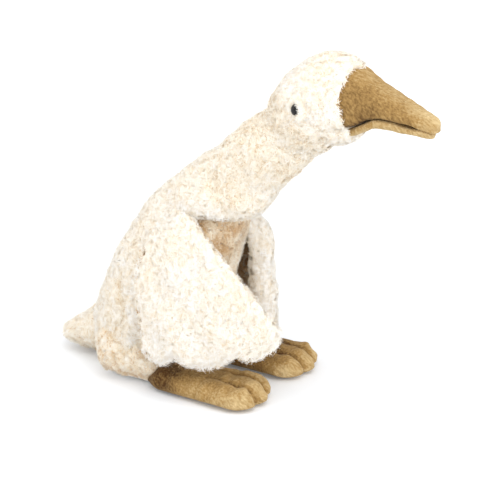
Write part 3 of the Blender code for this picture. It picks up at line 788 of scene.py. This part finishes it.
def legGrid(side, rows, around):
    # stuffed tube from inside the hip to the heel
    share = np.linspace(0, 1, rows)[:, None]
    start, end = legShape["hipForward"], legShape["heels"][side]
    hipRound = np.sqrt(np.clip(0.5 + share / 0.3, 0, 1))
    rounding = hipRound * np.sqrt(np.clip(1 - (share / 1.02) ** 10, 0, 1))
    hip, ankle = legShape["hip"], legShape["ankle"]
    radius = (hip + (ankle - hip) * share) / 2 * rounding * coverShrink - legShape["inset"]
    radius = np.maximum(radius, 0.002)
    across = side * (legShape["hipSpacing"] + (legShape["spacing"] - legShape["hipSpacing"]) * share) / 2
    middle = 0.86 * (hip + (ankle - hip) * share) / 2
    angle = ringAngles(around)
    radius = radius * (1 + 0.03 * np.sin(3 * angle + 9 * share))
    forward = start + (end - start) * share
    grid = place(forward, across + radius * np.cos(angle), middle + radius * np.sin(angle))
    grid = soften(grid, (0.018, 21, 0.0008))
    grid[..., 2] = np.maximum(grid[..., 2], coverLowest)
    return grid


def footGrid(side, rows, around):
    # sections across a webbed foot, whose toes end in lobes with a stitched groove between each two, and
    # their tone with painted shade and highlight
    heel = legShape["heels"][side]
    share = (0.5 - 0.5 * np.cos(math.pi * np.linspace(0, 1, rows)))[:, None]
    (heelWide, heelThick), (toeWide, toeThick) = footShape["heel"], footShape["toes"]
    halfWidth = heelWide / 2 + (toeWide - heelWide) / 2 * np.clip(share / 0.85, 0, 1) ** 0.9
    heelRound = np.sqrt(np.clip(share / 0.12, 0.06, 1))
    toeRound = np.sqrt(np.clip((1.004 - share) / 0.11, 0.01, 1))
    ends = np.minimum(heelRound, toeRound)
    thickness = (heelThick + (toeThick - heelThick) * share**0.8) * ends
    angle = ringAngles(around)
    across = np.sign(np.cos(angle)) * np.abs(np.cos(angle)) ** 0.8
    above = np.sign(np.sin(angle)) * np.sqrt(np.clip(1 - np.abs(across) ** 3.4, 0, 1))
    ownToe = np.abs(((1.5 * across + 0.5) % 1) * 2 - 1)
    lobe = np.sqrt(np.clip(1 - ownToe**2.4, 0, 1))
    inner = np.abs(across) < 2 / 3
    spread = fade(share, *footShape["grooveEnds"])
    grooveShade = bump(np.abs(across), 1 / 3, footShape["valleyWidth"]) * (above > 0)
    groove = footShape["groove"] * spread * np.where(inner | (ownToe < 0.6), 1 - lobe, 0.0)
    reach = footShape["scallop"] * (lobe - 1) - footShape["cornersBack"] * across**2
    forward = heel - footShape["heelBack"] * (1 - share) + footShape["length"] * share * 0.985
    forward = forward + reach * share**5
    lift = 0.30 * toeThick * (1 - toeRound) + 0.25 * heelThick * (1 - heelRound)
    # the edge seam runs low, so the sole is flatter than the top
    seam = footShape["seamLevel"]
    height = thickness * (seam + np.where(above > 0, 1 - seam, seam) * above)
    height = height - groove * np.clip(above, 0, 1) + lift
    width = halfWidth * 0.96 * np.sqrt(heelRound) * across * (1 - 0.05 * fade(share, 0.85, 1.0))
    grid = place(forward, side * (legShape["spacing"] / 2 + width), height)
    normal = gridNormals(grid, True)
    wrinkle = ripple(grid * [1, 2.2, 1], 0.020, 30 + side) * footShape["wrinkle"] * (above > -0.2)
    grid = grid + normal * wrinkle[..., None]
    grid[..., 2] = np.maximum(grid[..., 2], footShape["soleLowest"])
    # painted shade at the heel, over the back of the foot (most on the far left foot) and in the grooves;
    # lighter towards the toes, with painted highlight at the toes and along the edge
    t = footToneAndPaintedLight
    tone = t["base"] + t["forward"] * share - t["grooveShade"] * grooveShade * spread
    tone = tone - t["heel"] * (1 - fade(share, *t["heelShadeEnds"]))
    tone = tone - t["behind"][side] * (1 - fade(share, 0.6, 1.0))
    return grid, tone + t["toes"] * fade(share, 0.80, 1.0) + t["edge"] * bump(np.abs(across), 0.92, 0.10)


for side, hand in hands.items():
    surface = legGrid(side, 36, 56)
    legCover = tube(f"legCover{hand}", surface, cover, f"leg_{hand.lower()}")
    spots = scatter(surface)
    forward, right, up = gooseWays(spots["at"])
    outOfBody = np.hypot(forward / bodyShape["belly"][0], right / bodyShape["belly"][1]) > 0.45
    spots = keep(spots, (up > 0.003) & outOfBody)
    # random tone, lower than the body's, with painted shade darkening towards the floor
    tone = 0.60 + 0.22 * ripple(spots["at"], 0.011, 24) - 0.30 * fade(-spots["at"][:, 2], -0.024, -0.004)
    dress(spots, legShape["pileLength"], 0.45, tone, legShape["pileDepth"])
    strandPiece(f"pileLeg{hand}", spots)
    surface, tone = footGrid(side, 84, 96)
    foot = tube(f"foot{hand}", surface, velour, f"foot_{hand.lower()}", (True, True), tone)
print("legs and feet done")


# Wings

wingShape = {
    "thickness": 0.0062, "scallop": 0.014, "lobes": (0.0, 0.29, 0.70, 1.0), "edgePull": 0.0045,
    "rootSinks": 0.009, "roll": {1: 0.5, -1: 1.4}, "rollAt": 0.90, "rollWidth": 0.11,
    "pileLength": 0.0050, "hemLonger": 0.0032, "innerShare": 0.7,
}
# wing pile tone: random tone, lighter at the hem, painted shade on the inner face away from the front edge,
# and painted light on the far left wing
wingToneAndPaintedLight = {
    "base": 0.91, "fine": 0.08, "broad": 0.07, "hem": 0.12, "inner": 0.02, "innerShade": 0.86,
    "side": {1: 0.0, -1: 0.08},
}
# rows from root to hem, columns from rear edge to front edge: forward, height, stand-out from the torso
wingDrapes = {
    1: (
        ((0.020, 0.141, -0.004), (0.028, 0.146, -0.002), (0.036, 0.150, -0.002), (0.044, 0.153, -0.003)),
        ((0.010, 0.112, 0.007), (0.030, 0.116, 0.009), (0.054, 0.121, 0.008), (0.078, 0.126, 0.000)),
        ((0.010, 0.078, 0.009), (0.042, 0.079, 0.011), (0.078, 0.085, 0.006), (0.108, 0.092, -0.009)),
        ((0.018, 0.041, 0.012), (0.054, 0.042, 0.013), (0.094, 0.044, -0.002), (0.126, 0.056, -0.028)),
    ),
    -1: (
        ((0.022, 0.141, -0.004), (0.034, 0.143, -0.002), (0.052, 0.143, -0.002), (0.071, 0.138, -0.014)),
        ((-0.002, 0.112, 0.007), (0.026, 0.112, 0.010), (0.070, 0.114, 0.006), (0.081, 0.116, -0.019)),
        ((-0.012, 0.077, 0.009), (0.020, 0.075, 0.011), (0.076, 0.075, 0.006), (0.082, 0.078, -0.025)),
        ((-0.010, 0.047, 0.012), (0.024, 0.038, 0.013), (0.077, 0.033, 0.008), (0.088, 0.030, -0.019)),
    ),
}


def torsoHalfWidth(height):
    # straight between the body's sections
    s = bodyShape
    heights = (0.0, s["belly"][2], s["chest"][2], s["shoulder"][2], s["shoulder"][2] + 0.033)
    widths = (s["seat"][1], s["belly"][1], s["chest"][1], s["shoulder"][1], s["neckRoot"][1])
    return np.interp(height, heights, widths) / 2


def wingGrid(side, steps):
    # a sheet over the drape, scalloped at the hem, then a thin closed flap round it: the ring at each
    # height runs down the outer face from rear to front and back along the inner one
    sheet = smoothRows(smoothRows(wingDrapes[side], steps).swapaxes(0, 1), steps).swapaxes(0, 1)
    down, across = sheet.shape[:2]
    share = np.linspace(0, 1, across)[None, :]
    fall = np.linspace(0, 1, down)[:, None]
    lobe = np.zeros_like(share)
    for first, last in zip(wingShape["lobes"][:-1], wingShape["lobes"][1:]):
        within = np.clip((share - first) / (last - first), 0, 1)
        lobe = np.maximum(lobe, np.sqrt(np.clip(np.sin(math.pi * within), 0, 1)))
    pull = wingShape["edgePull"]
    height = sheet[..., 1] - wingShape["scallop"] * lobe * fall**4 + pull * fall**3
    outward = torsoHalfWidth(height) + sheet[..., 2] - wingShape["rootSinks"] * (1 - fade(fall, 0.0, 0.22))
    middle = place(sheet[..., 0] + pull * (1 - 2 * share), side * outward, height)
    normal = gridNormals(middle, False)
    normal *= np.sign((normal[..., 0] * -side).sum())
    soft = ripple(middle, 0.040, 40 + side) * 0.0016 + ripple(middle, 0.015, 42) * 0.0005
    middle = middle + normal * soft[..., None]
    edge = np.sqrt(np.clip(1 - np.abs(2 * share - 1) ** 12, 0, 1)) * np.sqrt(np.clip(1 - fall**14, 0, 1))
    rolled = bump(share, wingShape["rollAt"], wingShape["rollWidth"]) * fade(fall, 0.05, 0.3)
    half = wingShape["thickness"] / 2 * edge * (1 + wingShape["roll"][side] * rolled)
    outer = middle + normal * half[..., None]
    inner = middle - normal * half[..., None]
    return np.concatenate([outer, inner[:, -2:0:-1]], axis=1)


for side, hand in hands.items():
    surface = wingGrid(side, 14)
    wing = tube(f"wingCover{hand}", surface, cover, f"wing_{hand.lower()}", (True, True))
    spots = scatter(surface)
    # the inner face is more thinly covered, with painted shade deepening away from the front edge
    outer = spots["share"][:, 1] < 0.5
    covered = outer | (dice.uniform(0, 1, len(outer)) < wingShape["innerShare"])
    spots = keep(spots, (spots["share"][:, 0] > 0.02) & covered)
    hem = fade(spots["share"][:, 0], 0.90, 0.99)
    backward = (spots["share"][:, 1] - 0.5) * 2
    t = wingToneAndPaintedLight
    tone = t["base"] + t["fine"] * ripple(spots["at"], 0.011, 44) + t["broad"] * ripple(spots["at"], 0.04, 45)
    tone = tone + t["hem"] * hem - (backward > 0) * (t["inner"] + t["innerShade"] * fade(backward, 0.16, 0.34))
    length = wingShape["pileLength"] + wingShape["hemLonger"] * hem
    # the far left wing's tone is raised as painted light
    strandPiece(f"pileWing{hand}", dress(spots, length, 0.30 + 0.40 * hem, tone + t["side"][side]))
print("wings done")


# Beak

beakShape = {
    "length": 0.061, "rootDepth": 0.022, "baseWidth": 0.058, "tipWidth": 0.030, "ridge": 0.030,
    "mouth": 0.0145, "mouthRise": 0.0090, "tipDroop": 0.0104, "tipThickness": 0.0122,
    "lowerLength": 0.0576, "lowerThickness": 0.0088, "shrink": 0.965, "short": 0.0012,
    "tipFill": 0.0012, "tipFillAt": 0.055, "lipsMeet": (0.038, 0.052),
    "pileSpacing": 0.0021, "pileLength": 0.0046,
    "ridgeLine": ((0.28, 0.62), (0.62, 0.27)), "mouthLine": ((0.32, 0.0), (0.70, 0.0040)),
}


def beakLines(forward):
    # ridge height, mouth height and half width at distances ahead of the head's middle
    s = beakShape
    root, face, tip = headHalf - s["rootDepth"], headHalf - 0.005, headHalf + s["length"]
    tipRidge = s["tipThickness"] / 2 - s["tipDroop"]
    drop = s["ridge"] - tipRidge
    ridge = smoothRows([
        (root, s["ridge"]), (face, s["ridge"] - 0.001),
        *((face + at * (tip - face), tipRidge + high * drop) for at, high in s["ridgeLine"]),
        (tip, tipRidge),
    ], 12)
    mouth = smoothRows([
        (root, -s["mouth"]), (face, -s["mouth"]),
        *((face + at * (tip - face), s["mouthRise"] - s["mouth"] - sunk) for at, sunk in s["mouthLine"]),
        (tip, -s["tipDroop"] - s["tipThickness"] / 2),
    ], 12)
    share = np.clip((forward - root) / (tip - root), 0, 1)
    width = s["tipWidth"] + (s["baseWidth"] - s["tipWidth"]) * (1 - share) ** 1.3
    return (headAt[1] + np.interp(forward, ridge[:, 0], ridge[:, 1]),
            headAt[1] + np.interp(forward, mouth[:, 0], mouth[:, 1]), width / 2)


def beakGrid(rows, around, upper):
    # sections between two height lines, rounded over the sides and closed to a blunt end, with their tone,
    # painted shade and highlight included
    s = beakShape
    share = 1 - (1 - np.linspace(0, 1, rows)[:, None]) ** 1.7
    root = headHalf - s["rootDepth"]
    reach = s["length"] if upper else s["lowerLength"]
    forward = root + (headHalf + reach - s["short"] - root) * share
    rounding = np.sqrt(np.clip(1 - (share / 1.0005) ** 8, 0.0004, 1))
    ridge, mouth, halfWidth = beakLines(forward)
    halfWidth = halfWidth * rounding * s["shrink"]
    # the tip is a little fuller than its lines, and the two lips meet there
    ridge = ridge + s["tipFill"] * bump(forward, headHalf + s["tipFillAt"], 0.008)
    first, last = s["lipsMeet"]
    atTip = fade(forward, headHalf + first, headHalf + last)
    angle = ringAngles(around)
    sine, cosine = np.sin(angle), np.cos(angle)
    behindTip = 1 - fade(share, 0.75, 0.92)
    if upper:
        bottom = mouth - 0.0001 - 0.0008 * atTip
        low = mouth + 0.18 * (ridge - mouth) / 2
        middle = low + 0.22 * (ridge - low)
        span = np.where(sine > 0, ridge - middle, middle - bottom) * rounding**0.6
        high = middle + span * np.where(sine > 0, sine, -np.abs(sine) ** 0.45)
        # painted highlight along the ridge and at the tip, a little darker along the middle, painted shade at
        # the sides and under the lip
        tone = 0.42 + 0.24 * np.clip(sine, 0, 1) ** 3 + 0.28 * fade(share, 0.70, 1.0)
        tone = tone - 0.10 * bump(share, 0.40, 0.2)
        tone = tone - 0.22 * fade(-sine, 0.25, 0.75) * behindTip
    else:
        halfWidth = halfWidth * (0.80 + 0.20 * fade(forward, root + 0.014, root + 0.034)) - 0.0003
        top, bottom = mouth - 0.0004 + 0.0016 * atTip, mouth - s["lowerThickness"] + 0.0014 * atTip
        middle = (top + bottom) / 2
        high = middle + (top - middle) * np.where(sine > 0, np.abs(sine) ** 0.4, sine) * rounding**0.6
        # lighter below and towards the tip, painted shade where the lips touch
        tone = 0.60 + 0.16 * fade(-sine, -0.2, 0.6) - 0.30 * fade(sine, 0.6, 1.0) * behindTip + 0.12 * share
    square = np.where((sine > 0) == upper, 0.85, 0.55)
    across = halfWidth * np.sign(cosine) * np.abs(cosine) ** square
    return soften(place(headAt[0] + forward, across, high), (0.024, 51, 0.0004), (0.009, 52, 0.0002)), tone


for name, node, upper in (("beakUpper", "beak_upper", True), ("beakLower", "beak_lower", False)):
    surface, tone = beakGrid(90, 84, upper)
    skin = tube(name, surface, velour, node, tone=tone)
    # the head's pile lies forward over the beak's root
    spots = scatter(surface, spacing=beakShape["pileSpacing"])
    forward, right, up = gooseWays(spots["at"])
    fromHead, rise = forward - headAt[0], up - headAt[1]
    ragged = 0.0014 * ripple(spots["at"], 0.006, 57)
    covered = (fromHead > 0.016) & (fromHead < beakEdge(rise) - 0.0030 + ragged)
    spots = keep(spots, covered & (spots["normal"][:, 2] > -0.6))
    tone = 0.86 + 0.10 * ripple(spots["at"], 0.011, 58)
    dress(spots, beakShape["pileLength"], 0.70, tone)
    strandPiece(f"pileOver{name[0].upper()}{name[1:]}", spots)
print("beak done")


# Eyes

def buttonMaterial():
    # polished black plastic with a little dust, which makes it duller and greyer in spots
    made, nodes, links, shader = newMaterial("blackButton")
    where = nodes.new("ShaderNodeTexCoord")
    dust = addNode(nodes, "ShaderNodeTexNoise", {"Scale": 900.0, "Detail": 5.0})
    links.new(where.outputs["Object"], dust.inputs["Vector"])
    rough = addRange(nodes, links, dust.outputs["Fac"], 0.35, 0.75, 0.06, 0.16)
    links.new(rough, shader.inputs["Roughness"])
    colour = blendColours(nodes, links, dust.outputs["Fac"], (0.003, 0.003, 0.004), (0.010, 0.009, 0.008))
    links.new(colour, shader.inputs["Base Color"])
    shader.inputs["Specular IOR Level"].default_value = 0.30
    return made


button = buttonMaterial()
lidShape = {
    "clumps": 15, "half": 54.0, "radius": 0.0060, "out": 0.0016, "spread": 0.0006, "backward": 0.6,
    "length": 0.0058, "combing": 0.88, "tone": 0.92, "depth": 0.7,
}
upward = np.array([0, 0, 1.0])


def eyeFrame(side):
    # the middle of the button's seat on the head, its outward axis and a level direction across it
    s = eyeShape
    sections = np.array(headSections)
    half = bodyShape["head"][2] / 2 * np.interp(s["forward"] / headHalf, sections[:, 0], sections[:, 3])
    outward = half * math.sqrt(1 - (s["rise"] / (bodyShape["head"][1] / 2)) ** 2) - s["sinks"]
    back = math.radians(s["turnBack"])
    axis = np.array([-side * math.cos(back), math.sin(back), 0.0])
    across = np.array([-axis[1], axis[0], 0.0])
    return place(headAt[0] + s["forward"], side * outward, headAt[1] + s["rise"]), axis, across


def eyeGrid(side):
    # a half profile turned round the eye's axis: dome, rounded rim, back and shank
    s = eyeShape
    middle, axis, across = eyeFrame(side)
    turn = np.linspace(math.pi / 2, 0, 18)
    rim = np.linspace(0, math.pi / 2, 6)[1:]
    edge = s["radius"] - s["rim"] + s["rim"] * np.cos(rim)
    radius = np.concatenate([s["radius"] * np.cos(turn), edge, [s["shank"]] * 3])
    behind = [-s["back"], -s["back"] - s["step"], -s["shankLength"]]
    height = np.concatenate([s["dome"] * np.sin(turn), -2 * s["rim"] * np.sin(rim), behind])
    radius, height = np.maximum(radius, 0.00002)[:, None, None], height[:, None, None]
    angle = ringAngles(s["around"])[..., None]
    return middle + axis * height + radius * (across * np.cos(angle) + upward * np.sin(angle))


def pileLid(side):
    # clumps on an arc in front of the button, combed back over it
    s, many = lidShape, lidShape["clumps"]
    middle, axis, across = eyeFrame(side)
    ahead = across * -np.sign(across[1])
    angle = np.radians(np.linspace(-s["half"], s["half"], many))[:, None]
    away = ahead * np.cos(angle) + upward * np.sin(angle)
    at = middle + away * s["radius"] + axis * (s["out"] + s["spread"] * dice.uniform(0, 1, (many, 1)))
    spots = {"at": at, "normal": np.tile(axis, (many, 1)), "comb": unit(-away - ahead * s["backward"])}
    return dress(spots, s["length"], s["combing"], s["tone"], s["depth"])


for side, hand in hands.items():
    tube(f"eye{hand}", eyeGrid(side), button, f"eye_{hand.lower()}")
    strandPiece(f"pileLid{hand}", pileLid(side))
print("eyes done")


# Floor, light and camera

studio = {
    "floorSize": 9.0, "floorColour": (0.86, 0.88, 0.91), "floorGlow": (0.08, 0.46), "glowFrom": (0.22, 1.1),
    "worldStrength": 0.90, "aim": (0.0, 0.0, 0.12),
    "lamps": (
        ("keyLight", (-0.45, -0.35, 1.25), 6.3, 1.1),
        ("fillLight", (-0.60, -1.30, 0.42), 7.0, 1.2),
        ("rearLight", (-0.60, 1.10, 0.80), 4.0, 1.2),
    ),
}
cameraShape = {
    "azimuth": -64.0, "elevation": 20.0, "distance": 1.40, "lens": 126.0, "ahead": 0.085, "up": 0.1146,
}


def cameraSees(nodes, links):
    # 1 for rays from the camera and for what metal and glass show
    ray = nodes.new("ShaderNodeLightPath")
    most = ray.outputs["Is Camera Ray"]
    for name in ("Is Glossy Ray", "Is Transmission Ray"):
        most = addMath(nodes, links, "MAXIMUM", most, ray.outputs[name])
    return most


def floorMaterial():
    # pale floor that seems to turn to plain white with distance, for the camera only
    made, nodes, links, shader = newMaterial("floorWhite")
    setInputs(shader, {
        "Base Color": (*studio["floorColour"], 1), "Roughness": 0.9, "Specular IOR Level": 0.0,
        "Emission Color": (1, 1, 1, 1),
    })
    where = nodes.new("ShaderNodeTexCoord")
    far = addNode(nodes, "ShaderNodeVectorMath", {}, operation="LENGTH")
    links.new(where.outputs["Object"], far.inputs[0])
    glow = addRange(nodes, links, far.outputs["Value"], *studio["glowFrom"], *studio["floorGlow"])
    seen = addMath(nodes, links, "MULTIPLY", cameraSees(nodes, links), glow)
    links.new(seen, shader.inputs["Emission Strength"])
    return made


def buildStudio():
    scene = bpy.context.scene
    scene.view_settings.view_transform = "Standard"
    half = studio["floorSize"] / 2
    corners = np.array([[-half, -half, 0], [half, -half, 0], [half, half, 0], [-half, half, 0]])
    mesh = newMesh("studioFloor", corners, np.arange(4), [4])
    mesh.materials.append(floorMaterial())
    floor = bpy.data.objects.new("studioFloor", mesh)
    scene.collection.objects.link(floor)

    world = bpy.data.worlds.new("studioWorld")
    scene.world = world
    world.use_nodes = True
    nodes, links = world.node_tree.nodes, world.node_tree.links
    background = nodes["Background"]
    background.inputs["Color"].default_value = (1, 1, 1, 1)
    level = addRange(nodes, links, cameraSees(nodes, links), 0.0, 1.0, studio["worldStrength"], 1.0)
    links.new(level, background.inputs["Strength"])

    for name, at, power, size in studio["lamps"]:
        lamp = bpy.data.lights.new(name, "AREA")
        lamp.energy = power
        lamp.size = size
        lampObject = bpy.data.objects.new(name, lamp)
        scene.collection.objects.link(lampObject)
        lampObject.location = at
        x, y, z = np.array(studio["aim"]) - np.array(at)
        lampObject.rotation_euler = (math.atan2(math.hypot(x, y), -z), 0, math.atan2(-x, y))


def buildCamera():
    # stands on a sphere round its target, which it looks at
    c = cameraShape
    azimuth, elevation = math.radians(c["azimuth"]), math.radians(c["elevation"])
    level = math.cos(elevation)
    back = np.array([math.sin(azimuth) * level, -math.cos(azimuth) * level, math.sin(elevation)])
    target = np.array([0.0, seat[1] - c["ahead"], c["up"]])
    lens = bpy.data.cameras.new("photoCamera")
    lens.lens = c["lens"]
    lens.sensor_width = 36.0
    lens.sensor_fit = "HORIZONTAL"
    lens.clip_start, lens.clip_end = 0.05, 50.0
    camera = bpy.data.objects.new("photoCamera", lens)
    bpy.context.scene.collection.objects.link(camera)
    camera.location = target + back * c["distance"]
    camera.rotation_euler = (math.pi / 2 - elevation, 0, azimuth)
    bpy.context.scene.camera = camera


buildStudio()
buildCamera()
print("studio done")

bpy.context.view_layer.update()
